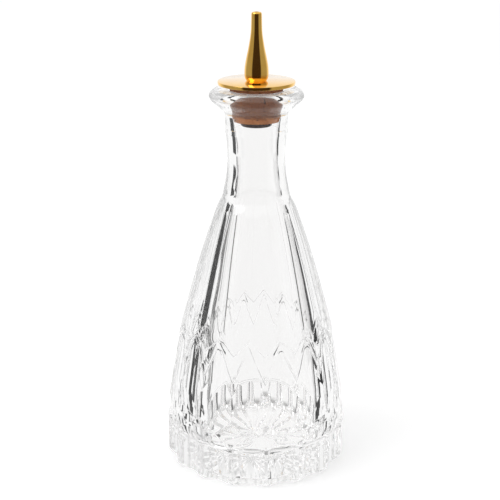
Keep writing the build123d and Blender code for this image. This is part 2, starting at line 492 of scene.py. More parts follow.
@dataclass
class GlassBottle:
    """The bottle's glass, with its cuts and its hollow.

    Lengths are in millimetres, and fields named turn in degrees. In the methods a turn is the
    angle in radians from the middle of a wide plain panel, from 0 to a quarter turn, and the next
    quarter is its mirror image. The ribbon is the zigzag of V cuts over the tier's ridges, with a
    groove along each of its two lines. A crease is the width over which two faces blend.
    """

    foot_tip_radius: float = 33.9
    foot_corner: float = 1.8
    foot_point_width: float = 1.4
    foot_scallop_depth: float = 3.8
    foot_ledge_thickness: float = 1.0
    foot_top: float = 15.5
    band_radius: float = 33.3
    band_top: float = 25.0
    tier_top_radius: float = 28.35
    cone_foot: float = 55.0
    cone_foot_radius: float = 27.8
    cone_points: tuple[Point, ...] = ((25.0, 65.2), (22.3, 74.8), (19.76, 83.1), (17.0, 91.4))
    cone_top: float = 98.0
    cone_top_radius: float = 14.7
    neck_points: tuple[Point, ...] = (
        (13.66, 100.1), (12.61, 102.06), (11.95, 105.0), (11.0, 110.0), (10.55, 115.0),
        (10.72, 120.5), (11.1, 126.0))
    neck_rings_from: float = 105.0
    neck_collar_radius: float = 11.4
    glass_top: float = 141.8
    mouth_radius: float = 9.673
    leaf_foot: float = 35.0
    leaf_top: float = 47.0
    leaf_depth: float = 0.40
    leaf_least_turn: float = 0.5
    leaf_reach: float = 0.9
    petal_overlap: float = 3.0
    ribbon_foot: tuple[float, float] = (40.0, 53.7)
    ribbon_top: tuple[float, float] = (50.0, 55.5)
    ribbon_depth: float = 0.30
    groove_depth: float = 0.20
    groove_reach: tuple[float, float] = (0.8, 0.45)
    flute_width: float = 3.6
    flute_depth: float = 0.13
    flute_edge: float = 0.35
    flute_slope_reach: float = 1.0
    flute_turn: float = 17.3
    flutes_per_side: int = 7
    star_radius: float = 24.0
    star_depth: float = 1.5
    star_ray_depth: float = 0.7
    floor_level: float = 8.0
    bore_share: float = 0.69
    hollow_lean: float = 1.0
    lean_turn: float = 16.15
    lean_from: float = 128.0
    lean_height: float = 58.0
    foot_crease: float = 0.35
    corner_crease: float = 0.3
    band_crease: float = 0.10
    petal_crease: float = 0.16
    leaf_crease: float = 0.05
    flute_crease: float = 0.03
    sharp_turn: float = 38.0
    tracks_swap_from: float = 52.0
    tracks_swap_height: float = 6.0
    points: int = 16
    panel_turn: float = 101.25
    panels: int = 2

    def __post_init__(self) -> None:
        """Work out what the cuts share."""
        self.pitch = 2 * pi / self.points
        self.ridge = self.pitch / 2
        first = radians(self.flute_turn)
        step = (pi - 2 * first) / (self.flutes_per_side - 1)
        self.flutes = [first + step * index for index in range((self.flutes_per_side + 1) // 2)]
        between_flutes = [(low + high) / 2 for low, high in zip(self.flutes, self.flutes[1:])]
        self.flute_bounds = [0.0, *between_flutes, pi / 2]
        half_chord = self.foot_tip_radius * sin(self.pitch / 2) - self.foot_point_width / 2
        valley = self.foot_tip_radius - self.foot_scallop_depth
        depth = self.foot_tip_radius * cos(self.pitch / 2) - valley
        self.scallop_radius = (half_chord**2 + depth**2) / (2 * depth)
        self.scallop_middle = valley + self.scallop_radius
        cone_end = (self.cone_top_radius, self.cone_top)
        self.cone_curve = smooth_through(
            [(self.cone_foot_radius, self.cone_foot), *self.cone_points, cone_end], steps=8)
        self.neck_curve = smooth_through([cone_end, *self.neck_points], steps=6)
        self.columns = self.list_columns()

    def cone_line(self, level: float) -> float:
        """Give the radius of the cone, run straight on past both its ends.

        Args:
            level: The height over the ground.

        Returns:
            The radius.
        """
        curve = self.cone_curve
        for (low_radius, low), (high_radius, high) in zip(curve, curve[1:]):
            if level <= high:
                break
        return between(low_radius, high_radius, (level - low) / (high - low))

    def cone(self, level: float) -> float:
        """Give the plain cone's radius at a level, with the neck above it.

        Args:
            level: The height over the ground.

        Returns:
            The radius.
        """
        if level <= self.cone_top:
            return self.cone_line(level)
        for (low_radius, low), (high_radius, high) in zip(self.neck_curve, self.neck_curve[1:]):
            if level <= high:
                return between(low_radius, high_radius, (level - low) / (high - low))
        return self.neck_curve[-1][0]

    def from_petal_middle(self, turn: float) -> float:
        """Give the angle from the nearest petal's middle."""
        aside = turn % self.pitch
        return min(aside, self.pitch - aside)

    def petal(self, turn: float, level: float) -> float:
        """Give the radius of the flat petals.

        Args:
            turn: The turn in radians.
            level: The height over the ground.

        Returns:
            The radius.
        """
        share = (level - self.band_top) / (self.cone_foot - self.band_top)
        corner = between(self.band_radius, self.tier_top_radius, share)
        return corner * cos(self.pitch / 2) / cos(self.from_petal_middle(turn))

    def leaf(self, turn: float, level: float) -> float:
        """Give the radius that the wheel leaves on a ridge, or a large one away from it.

        Args:
            turn: The turn in radians.
            level: The height over the ground.

        Returns:
            The radius.
        """
        tilt = atan2(self.band_radius - self.tier_top_radius, self.cone_foot - self.band_top)
        length = (self.leaf_top - self.leaf_foot) / cos(tilt)
        wheel = ((length / 2)**2 + self.leaf_depth**2) / (2 * self.leaf_depth)
        middle = (self.leaf_foot + self.leaf_top) / 2
        ridge_radius = self.band_radius - tan(tilt) * (middle - self.band_top)
        reach = wheel - self.leaf_depth
        across = level - middle - reach * sin(tilt)
        if abs(across) >= wheel:
            return self.foot_tip_radius
        cut = ridge_radius + reach * cos(tilt) - sqrt(wheel**2 - across**2)
        return cut / cos(self.ridge - self.from_petal_middle(turn))

    def ribbon_lines(self, turn: float) -> tuple[float, float]:
        """Give the levels of a V cut's lower and upper line, which climb from the ridges."""
        share = min((self.ridge - self.from_petal_middle(turn)) / self.ridge, 1.0)
        return between(*self.ribbon_foot, share), between(*self.ribbon_top, share)

    def ribbon(self, turn: float, level: float) -> float:
        """Give how deep the V cuts go that stand over the ridges, and the grooves beside them.

        Args:
            turn: The turn in radians.
            level: The height over the ground.

        Returns:
            The depth under the plain surface.
        """
        share = self.from_petal_middle(turn) / self.ridge
        low, high = self.ribbon_lines(turn)
        along = min(max((level - low) / (high - low), 0.0), 1.0)
        depth = self.ribbon_depth * share * 4 * along * (1 - along)
        for line, reach in zip((low, high), self.groove_reach):
            depth += self.groove_depth * max(1 - ((level - line) / reach)**2, 0.0)
        return depth

    def flute_cut(self, turn: float, level: float) -> float:
        """Give the radius of the nearest flute's round floor, or a large one away from it.

        Args:
            turn: The turn in radians.
            level: The height over the ground.

        Returns:
            The radius.
        """
        line = self.cone_line(level)
        aside = line * sin(min(abs(turn - flute) for flute in self.flutes))
        if aside >= self.flute_width / 2 + self.flute_slope_reach:
            return self.foot_tip_radius
        share = (self.flute_width / 2 - aside) / self.flute_edge
        if share <= 0:
            return line - share * self.flute_depth
        share = min(share, 1.0)
        return line - self.flute_depth * share * share * (3 - 2 * share)

    def band(self, turn: float, level: float) -> float:
        """Give the radius of the diamonds, each two triangles that meet on a level line.

        Args:
            turn: The turn in radians.
            level: The height over the ground.

        Returns:
            The radius.
        """
        middle = (self.foot_top + self.band_top) / 2
        end = self.foot_top if level <= middle else self.band_top

        def corner(angle: float, height: float) -> Vector:
            """Give a corner of a triangle."""
            return Vector((self.band_radius * cos(angle), self.band_radius * sin(angle), height))

        triangles = [
            (corner(self.ridge, end), corner(0, middle), corner(self.pitch, middle)),
            (corner(0, middle), corner(self.ridge, end), corner(-self.ridge, end)),
        ]
        aside = self.from_petal_middle(turn)
        radii = []
        for first, second, third in triangles:
            normal = (second - first).cross(third - first)
            facing = normal.x * cos(aside) + normal.y * sin(aside)
            radii.append((normal.dot(first) - normal.z * level) / facing)
        return soft_min(*radii, self.band_crease)

    def scallop(self, turn: float) -> float:
        """Give the foot's radius in its valleys and at its points.

        Args:
            turn: The turn in radians.

        Returns:
            The radius.
        """
        aside = self.scallop_middle * sin(self.from_petal_middle(turn))
        if aside >= self.scallop_radius:
            return self.foot_tip_radius
        across = self.scallop_middle * cos(self.from_petal_middle(turn))
        cut = across - sqrt(self.scallop_radius**2 - aside**2)
        return soft_min(cut, self.foot_tip_radius, self.foot_crease)

    def star(self, turn: float, share: float) -> Point:
        """Give a point of the star under the foot, a share of the way out from its middle.

        Args:
            turn: The turn in radians.
            share: The share of the way out.

        Returns:
            The radius and the level.
        """
        half = self.pitch / 4
        aside = self.ridge - self.from_petal_middle(turn) - half
        radius = self.star_radius * cos(half) / cos(aside)
        rise = self.star_ray_depth * (1 - (tan(half) + tan(aside)) / (2 * tan(half)))
        return share * radius, between(self.star_depth, max(rise, 0.0), share)

    def side(self, turn: float, level: float) -> float:
        """Give the glass's outer radius above the band.

        Args:
            turn: The turn in radians.
            level: The height over the ground.

        Returns:
            The radius.
        """
        plain = self.cone(level)
        if level < self.cone_foot + self.petal_overlap:
            plain = soft_min(self.petal(turn, level), plain, self.petal_crease)
            plain = soft_min(plain, self.leaf(turn, level), self.leaf_crease)
            plain -= self.ribbon(turn, level)
        return soft_min(plain, self.flute_cut(turn, level), self.flute_crease)

    def leaf_edge(self, level: float) -> float:
        """Give the angle from a ridge to its leaf's edge, found by halving.

        Args:
            level: The height over the ground.

        Returns:
            The angle in radians, never less than the least.
        """
        least = radians(self.leaf_least_turn)
        if not self.leaf_foot < level < self.leaf_top:
            return least
        low, high = 0.0, self.ridge * self.leaf_reach
        halvings = 20
        for _ in range(halvings):
            offset = (low + high) / 2
            turn = self.ridge - offset
            if self.leaf(turn, level) < self.petal(turn, level):
                low = offset
            else:
                high = offset
        return max(low, least)

    def list_columns(self) -> list[Column]:
        """List the mesh's columns over a quarter turn, close together at the cuts' edges.

        Returns:
            The columns in order, without the quarter turn's end.
        """
        def mirrored(shares: tuple[float, ...]) -> tuple[float, ...]:
            """Give the shares of the same span seen from its other end."""
            return 0.0, *(1 - share for share in reversed(shares[1:]))

        to_edge = (0.0, 0.2, 0.45, 0.68, 0.86, 0.96)
        to_ridge = (0.0, 0.08, 0.17, 0.26, 0.34, 0.6, 0.85)
        spans = (to_edge, to_ridge, mirrored(to_ridge), mirrored(to_edge))
        past_edge = sum(len(shares) for shares in spans[1:])
        last = len(self.flutes) - 1
        columns = []
        for section in range(len(self.flutes)):
            for span, shares in enumerate(spans):
                for number, share in enumerate(shares):
                    flute_span, flute_share = span, share
                    if section == last and span > 0:
                        done = sum(len(each) for each in spans[1:span]) + number
                        flute_span, flute_share = 1, done / past_edge
                    columns.append(Column(section, span, share, flute_span, flute_share))
        return columns

    def track(self, column: Column, level: float) -> float:
        """Give a column's turn at a level, along the petals low down and the flutes above.

        Args:
            column: The column.
            level: The height over the ground.

        Returns:
            The turn in radians.
        """
        blend = min(max((level - self.tracks_swap_from) / self.tracks_swap_height, 0.0), 1.0)
        facet = flute = 0.0
        if blend < 1.0:
            middle = column.section * self.pitch
            if level < self.foot_top:
                edge = self.foot_point_width / 2 / self.foot_tip_radius
            else:
                edge = self.leaf_edge(level)
            marks = (middle, middle + self.ridge - edge, middle + self.ridge,
                     middle + self.ridge + edge, middle + self.pitch)
            facet = between(*marks[column.facet_span:column.facet_span + 2], column.facet_share)
        if blend > 0.0:
            middle = self.flutes[column.section]
            edge = self.flute_width / 2 / self.cone(max(level, self.cone_foot))
            marks = (self.flute_bounds[column.section], middle - edge, middle, middle + edge,
                     self.flute_bounds[column.section + 1])
            flute = between(*marks[column.flute_span:column.flute_span + 2], column.flute_share)
        return between(facet, flute, blend)

    def rows(self) -> list[list[Station]]:
        """List the outer rows from the axis under the foot to the neck.

        Returns:
            For each row the turn, radius and level of every column and of the quarter turn's end.
        """
        rows: list[list[Station]] = []

        def add(outline: Outline, guide: float) -> None:
            """Add a row along an outline, its columns placed as they are at the guide's level."""
            turns = [self.track(column, guide) for column in self.columns] + [pi / 2]
            rows.append([(turn, *outline(turn)) for turn in turns])

        star_shares = (0.0, 0.06, 0.15, 0.3, 0.5, 0.7, 0.85, 0.95, 1.0)
        for share in star_shares:
            add(lambda turn, share=share: self.star(turn, share), 0.0)
        add(lambda turn: (self.star(turn, 1.0)[0], 0.0), 0.0)
        self.add_foot_rows(add)
        self.add_band_rows(add)
        tier_levels = (25.0, 25.3, 27.0, 30.0, 33.0, 34.6, 35.0, 35.4, 36.0, 37.0, 38.0)
        cone_levels = [60.0 + 3.0 * step for step in range(12)]
        shoulder_levels = [95.0 + 0.5 * step for step in range(17)]
        for level in tier_levels:
            add(lambda turn, level=level: (self.side(turn, level), level), level)
        rows += self.ribbon_rows()
        for level in cone_levels + shoulder_levels:
            add(lambda turn, level=level: (self.side(turn, level), level), level)
        return rows

    def add_foot_rows(self, add: AddRow) -> None:
        """Add the rows up the scalloped foot and over its ledge.

        Args:
            add: The function that adds a row, from its outline and its guide's level.
        """
        heights = (0.0, 0.5, 1.2, 1.8, 2.4, 8.0, 13.9)
        corner = self.foot_tip_radius - self.foot_corner
        for height in heights:
            add(lambda turn, height=height: (
                soft_min(self.scallop(turn), corner + height, self.corner_crease), height), 0.0)
        ledge = self.foot_top - self.foot_ledge_thickness
        tip = self.foot_tip_radius
        under, over = 0.2, 0.25
        add(lambda turn: (self.scallop(turn), ledge - under), 0.0)
        add(lambda turn: (min(self.scallop(turn) + under, tip), ledge), 0.0)
        add(lambda turn: (max(min(self.scallop(turn) + under, tip), tip - under), ledge), 0.0)
        add(lambda turn: (tip, ledge + under), 0.0)
        add(lambda turn: (tip, self.foot_top - over), 0.0)
        add(lambda turn: (tip - over, self.foot_top), 0.0)

    def add_band_rows(self, add: AddRow) -> None:
        """Add the rows over the diamonds, along their lower and upper edges.

        Args:
            add: The function that adds a row, from its outline and its guide's level.
        """
        foot, top = self.foot_top, self.band_top

        def slant(turn: float) -> float:
            """Give how far a diamond's edge has climbed at an angle."""
            return (top - foot) / 2 * (1 - self.from_petal_middle(turn) / self.ridge)

        def on_band(turn: float, level: float) -> Point:
            """Give the band's radius at a level, kept inside the ledge and the petals."""
            return min(self.band(turn, level), self.band_radius), level

        under_shares = (0.0, 0.1, 0.4, 0.8, 1.0)
        middle_shares = (0.06, 0.3, 0.47, 0.53, 0.7, 0.94, 1.0)
        over_shares = (0.2, 0.6, 0.9)
        for share in under_shares:
            add(lambda turn, share=share: on_band(turn, foot + share * slant(turn)), foot)
        for share in middle_shares:
            add(lambda turn, share=share: on_band(
                turn, between(foot + slant(turn), top - slant(turn), share)), foot)
        for share in over_shares:
            add(lambda turn, share=share: on_band(turn, top - (1 - share) * slant(turn)), foot)

    def ribbon_rows(self) -> list[list[Station]]:
        """List the rows that follow the V cuts' lines, with the plain rows left between them.

        Returns:
            For each row the turn, radius and level of every column and of the quarter turn's end.
        """
        foot, guess, top = 38.0, 50.0, 59.0
        passes = 4
        near, wide = self.groove_reach
        below = (0.15, 0.3, 0.45, 0.6, 0.75, 0.9, 1.0)
        groove = (0.25, 0.4, 0.5, 0.6, 0.75, 1.0)
        cut = (0.15, 0.3, 0.5, 0.7, 0.85, 1.0)
        above = (0.08, 0.2, 0.4, 0.7, 1.0)

        def marks(turn: float) -> list[float]:
            """List the levels of all the rows at an angle.

            Args:
                turn: The turn in radians.

            Returns:
                The levels from below upwards.
            """
            low, high = self.ribbon_lines(turn)
            edges = (foot, low - near, low + near, high - wide, high + wide, top)
            spans = (below, groove, cut, groove, above)
            return [between(start, end, share)
                    for start, end, shares in zip(edges, edges[1:], spans) for share in shares]

        rows: list[list[Station]] = [[] for _ in marks(0.0)]
        for column in [*self.columns, None]:
            for number, row in enumerate(rows):
                level = guess
                for _ in range(passes):
                    turn = pi / 2 if column is None else self.track(column, level)
                    level = marks(turn)[number]
                row.append((turn, self.side(turn, level), level))
        return rows

    def lip_outline(self) -> list[Point]:
        """Give the outline from the neck's top over the collar and the lip to the mouth.

        Returns:
            Points of radius and level, from below upwards.
        """
        top, collar, mouth = self.glass_top, self.neck_collar_radius, self.mouth_radius
        lip = [(11.5, 132.95), (12.3, 134.2), (13.6, 135.35), (15.18, 136.75), (16.3, 137.75),
               (16.95, 138.75), (17.1, 139.6), (16.7, 140.6), (16.0, 141.35), (15.2, top - 0.05)]
        return [
            *(point for point in self.neck_curve if point[1] >= self.neck_rings_from),
            (11.32, 126.05), (collar, 126.35), (collar, 129.0), (collar, 132.4),
            *smooth_through(lip, steps=3), (14.6, top), (mouth + 0.9, top),
            (mouth + 0.5, 141.74), (mouth + 0.2, 141.55), (mouth, 141.2),
        ]

    def hollow_outline(self) -> list[Point]:
        """Give the outline of the hollow, from the mouth down to the middle of the floor.

        Returns:
            Points of radius and level, from above downwards.
        """
        floor, inner, corner_radius = self.floor_level, 23.4, 6.0
        levels = (122.0, 116.0, 110.0, 105.0, 102.0, 98.4, 92.0, 83.0, 74.0, 64.0, 55.0)
        wall = smooth_through([
            (8.46, 129.0), *((self.bore_share * self.cone(level), level) for level in levels),
            (21.3, 42.0), (23.0, 28.0)], steps=4)
        corner = arc_between((inner, floor + corner_radius), (inner - corner_radius, floor),
                             QUARTER_ARC_BULGE, steps=8)
        return [(9.4, 138.9), (8.9, 133.6), *wall, (inner, 21.0), *corner, (12.0, floor + 0.1),
                (6.0, floor + 0.3), (0.0, floor + 0.4)]

    def lean_over(self, mesh: bpy.types.Mesh) -> None:
        """Shift the hollow off the axis below the mouth, as in pressed glass of uneven wall.

        Args:
            mesh: The whole glass, which is changed in place.
        """
        slack, least_span, skin = 0.01, 1e-6, 1.0
        outline = sorted((level, radius) for radius, level in self.hollow_outline())
        turn = radians(self.lean_turn)
        for vertex in mesh.vertices:
            level = vertex.co.z / MM
            if not outline[0][0] - slack <= level <= self.lean_from:
                continue
            wall = max(
                between(low[1], high[1], (level - low[0]) / max(high[0] - low[0], least_span))
                for low, high in zip(outline, outline[1:])
                if low[0] - slack <= level <= high[0] + slack)
            if hypot(vertex.co.x, vertex.co.y) / MM > wall + skin:
                continue
            share = min((self.lean_from - level) / self.lean_height, 1.0)
            shift = self.hollow_lean * MM * share
            vertex.co.x += shift * cos(turn)
            vertex.co.y += shift * sin(turn)

    def sector(self) -> bpy.types.Mesh:
        """Shape half of the glass, a quarter turn to both sides of a wide panel's middle.

        Returns:
            The open mesh, to be closed by its turned copies.
        """
        shape = bmesh.new()
        rows = self.rows()
        turns = [turn for turn, _, _ in rows[-1]]
        rows += [[(turn, radius, level) for turn in turns]
                 for radius, level in self.lip_outline() + self.hollow_outline()]
        middle = radians(self.panel_turn)
        full = []
        for row in rows:
            mirrored = [(-turn, radius, level) for turn, radius, level in reversed(row[1:])]
            full.append([
                shape.verts.new((radius * MM * cos(middle + turn), radius * MM * sin(middle + turn),
                                 level * MM))
                for turn, radius, level in mirrored + row
            ])
        for lower, upper in zip(full, full[1:]):
            for index in range(len(lower) - 1):
                shape.faces.new([lower[index], lower[index + 1], upper[index + 1], upper[index]])
        bmesh.ops.remove_doubles(shape, verts=shape.verts, dist=MERGE_DISTANCE)
        bmesh.ops.dissolve_degenerate(shape, edges=shape.edges, dist=SLIVER_LENGTH)
        mesh = bpy.data.meshes.new("glass_sector")
        shape.to_mesh(mesh)
        shape.free()
        return mesh

    def build(self, finish: bpy.types.Material) -> bpy.types.Object:
        """Repeat the sector around the axis and give it to the bottle's body.

        Args:
            finish: The glass's material.

        Returns:
            The finished piece.
        """
        sector = mesh_piece("glass_sector", self.sector())
        piece = repeated_around("cut_glass", sector, self.panels, finish)
        self.lean_over(piece.data)
        smooth_shaded(piece.data, radians(self.sharp_turn))
        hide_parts("glass_bottle")
        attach(piece, "bottle")
        return piece


def repeated_around(name: str, source: bpy.types.Object, count: int,
                    material: bpy.types.Material) -> bpy.types.Object:
    """Repeat a mesh around the Z axis with Geometry Nodes and keep the result as a plain mesh.

    Args:
        name: The new piece's name.
        source: The object that holds the mesh to repeat, which is deleted.
        count: The number of copies, evenly spaced.
        material: The finish of every face.

    Returns:
        The new piece, closed where the copies meet.
    """
    group = bpy.data.node_groups.new("repeat_around_axis", "GeometryNodeTree")
    face = group.interface
    for label, kind in (("Geometry", "Geometry"), ("Copies", "Int"), ("Seam", "Float"),
                        ("Finish", "Material")):
        face.new_socket(label, in_out="INPUT", socket_type="NodeSocket" + kind)
    face.new_socket("Geometry", in_out="OUTPUT", socket_type="NodeSocketGeometry")
    tree = Tree(group)
    given = tree.place("NodeGroupInput").outputs
    line = tree.place("GeometryNodeMeshLine", Count=given["Copies"], Offset=(0.0, 0.0, 0.0))
    step = tree.maths("DIVIDE", 2 * pi, given["Copies"])
    angle = tree.maths("MULTIPLY", tree.place("GeometryNodeInputIndex").outputs[0], step)
    turn = tree.add("CombineXYZ", Z=angle)
    copies = tree.place("GeometryNodeInstanceOnPoints", Points=line.outputs["Mesh"],
                        Instance=given["Geometry"], Rotation=turn.outputs[0])
    real = tree.place("GeometryNodeRealizeInstances", Geometry=copies.outputs[0])
    joined = tree.place("GeometryNodeMergeByDistance", Geometry=real.outputs[0],
                        Distance=given["Seam"])
    dressed = tree.place("GeometryNodeSetMaterial", Geometry=joined.outputs[0],
                         Material=given["Finish"])
    tree.place("NodeGroupOutput", Geometry=dressed.outputs[0])
    modifier = source.modifiers.new("repeat", "NODES")
    modifier.node_group = group
    sockets = {item.name: item.identifier for item in face.items_tree if item.in_out == "INPUT"}
    modifier[sockets["Copies"]] = count
    modifier[sockets["Seam"]] = SEAM_DISTANCE
    modifier[sockets["Finish"]] = material
    graph = bpy.context.evaluated_depsgraph_get()
    mesh = bpy.data.meshes.new_from_object(source.evaluated_get(graph))
    mesh.name = name
    bpy.data.objects.remove(source)
    bpy.data.node_groups.remove(group)
    piece = mesh_piece(name, mesh)
    face_outwards(mesh)
    return piece


@dataclass
class DasherTop:
    """The spout, its flange and tube, the cork and the collar under it.

    Lengths are in millimetres. The spigot holds the spout in the tube, and the boss is the low step
    under the disc. The flank's points give the spout's radius and the height over the disc, and
    the cork has a radius at its foot and one at its top. A set of pits has a scale, the least
    noise that makes a pit, and a depth.
    """

    disc_top: float = 144.75
    disc_thickness: float = 1.35
    disc_radius: float = 14.0
    boss_height: float = 0.8
    boss_radius: float = 9.65
    bore_radius: float = 1.6
    tube_radius: float = 3.0
    tube_length: float = 13.4
    spigot_radius: float = 2.3
    spigot_length: float = 1.2
    spout_foot_radius: float = 3.6
    spout_height: float = 24.3
    spout_flank: tuple[Point, ...] = (
        (3.8, 0.3), (4.2, 1.1), (4.4, 2.3), (4.36, 4.0), (4.17, 5.75), (3.65, 8.5),
        (3.08, 11.1), (2.58, 13.8), (2.12, 17.0), (1.98, 20.0), (1.9, 23.4))
    orifice_radius: float = 0.8
    orifice_length: float = 9.0
    cork_top: float = 142.6
    cork_foot: float = 130.6
    cork_radii: Range = (8.35, 9.65)
    cork_rings: int = 30
    cork_skin_from: float = 4.0
    cork_pits: tuple[tuple[float, float, float], ...] = ((1.3, 0.12, 0.9), (3.1, 0.25, 0.5))
    collar_foot: float = 128.5
    collar_radius: float = 5.75
    metal_segments: int = 96
    cork_segments: int = 128

    def turned(self, name: str, outline: list[Point], segments: int,
               finish: bpy.types.Material) -> bpy.types.Object:
        """Turn a piece from an outline in millimetres and give it its finish.

        Args:
            name: The piece's name.
            outline: Points of radius and level.
            segments: The number of faces around the axis.
            finish: The piece's material.

        Returns:
            The piece.
        """
        in_metres = [(radius * MM, level * MM) for radius, level in outline]
        piece = turned_piece(name, in_metres, segments)
        piece.data.materials.append(finish)
        return piece

    def spout(self, gold: bpy.types.Material) -> bpy.types.Object:
        """Turn the hollow spout.

        Args:
            gold: The material of the gold parts.

        Returns:
            The finished piece.
        """
        foot, tip = self.disc_top, self.disc_top + self.spout_height
        flank = smooth_through([(radius, foot + up) for radius, up in self.spout_flank], steps=6)
        bore, orifice, spigot = self.bore_radius, self.orifice_radius, self.spigot_radius
        funnel = tip - self.orifice_length
        spigot_foot = foot - self.spigot_length
        outline = [
            (self.spout_foot_radius, foot), *flank, (1.83, tip - 0.45), (1.62, tip - 0.13),
            (1.3, tip), (orifice + 0.1, tip), (orifice, tip - 0.1), (orifice, funnel),
            (bore, funnel - 0.8), (bore, spigot_foot), (spigot, spigot_foot), (spigot, foot)]
        piece = self.turned("dasher_spout", outline, self.metal_segments, gold)
        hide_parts("pour_spout")
        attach(piece, "stopper")
        return piece

    def flange(self, gold: bpy.types.Material) -> bpy.types.Object:
        """Turn the disc, its boss and its tube.

        Args:
            gold: The material of the gold parts.

        Returns:
            The finished piece.
        """
        top, rim, edge, soft = self.disc_top, self.disc_radius, 0.35, 0.1
        under = top - self.disc_thickness
        boss, boss_foot = self.boss_radius, under - self.boss_height
        bore, tube, tube_foot = self.bore_radius, self.tube_radius, boss_foot - self.tube_length
        spigot, spigot_foot = self.spigot_radius, top - self.spigot_length
        outline = [
            (bore, tube_foot), (tube, tube_foot), (tube, boss_foot), (boss - 0.15, boss_foot),
            (boss, boss_foot + 0.15), (boss, under - soft), (boss + soft, under),
            (rim - edge, under), (rim - soft, under + soft), (rim, under + edge),
            (rim, top - edge), (rim - soft, top - soft), (rim - edge, top), (spigot, top),
            (spigot, spigot_foot), (bore, spigot_foot)]
        piece = self.turned("dasher_flange", outline, self.metal_segments, gold)
        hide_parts("cap_flange")
        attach(piece, "stopper")
        return piece

    def cork(self, finish: bpy.types.Material) -> bpy.types.Object:
        """Turn the cork and pit its surface.

        Args:
            finish: The cork's material.

        Returns:
            The finished piece.
        """
        top, foot, tube, chamfer = self.cork_top, self.cork_foot, self.tube_radius, 0.15
        shares = [ring / self.cork_rings for ring in range(self.cork_rings + 1)]
        side = [(between(*self.cork_radii, share), between(foot + chamfer, top, share))
                for share in shares]
        foot_rim = self.cork_radii[0] - chamfer
        outline = [(tube, foot), (5.0, foot), (7.0, foot), (foot_rim, foot), *side,
                   (2 * tube, top), (tube, top)]
        piece = self.turned("tapered_cork", outline, self.cork_segments, finish)
        for vertex in piece.data.vertices:
            place = vertex.co / MM
            radius = hypot(place.x, place.y)
            if radius < self.cork_skin_from or place.z > top - 2 * chamfer:
                continue
            pit = sum(max(noise.noise(place * scale) - least, 0.0) * depth
                      for scale, least, depth in self.cork_pits)
            vertex.co.x *= 1 - pit / radius
            vertex.co.y *= 1 - pit / radius
        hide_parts("cork_sleeve")
        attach(piece, "stopper")
        return piece

    def collar(self, finish: bpy.types.Material) -> bpy.types.Object:
        """Turn the retaining collar.

        Args:
            finish: The collar's material.

        Returns:
            The finished piece.
        """
        top, foot = self.cork_foot, self.collar_foot
        tube, rim = self.tube_radius, self.collar_radius
        outline = [
            (tube, foot), (rim - 0.55, foot), (rim - 0.2, foot + 0.12), (rim - 0.05, foot + 0.35),
            (rim, foot + 0.6), (rim, top - 0.15), (rim - 0.1, top), (tube, top)]
        piece = self.turned("cork_collar", outline, self.metal_segments, finish)
        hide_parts("retaining_collar")
        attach(piece, "stopper")
        return piece


@dataclass(frozen=True)
class Card:
    """A dark upright card that stands beside the bottle and is seen through its glass.

    Its edges are azimuths in degrees, 0 straight away from the camera and positive to its right.
    Each fade is a pair of rises, the sines of elevations, between which the card comes in.
    """

    left: float
    right: float
    soft: float
    fades: tuple[Range, ...]


@dataclass(frozen=True)
class Zone:
    """A part of the surroundings: its colour, and the pair of values between which it comes in."""

    colour: Colour
    fade: Range


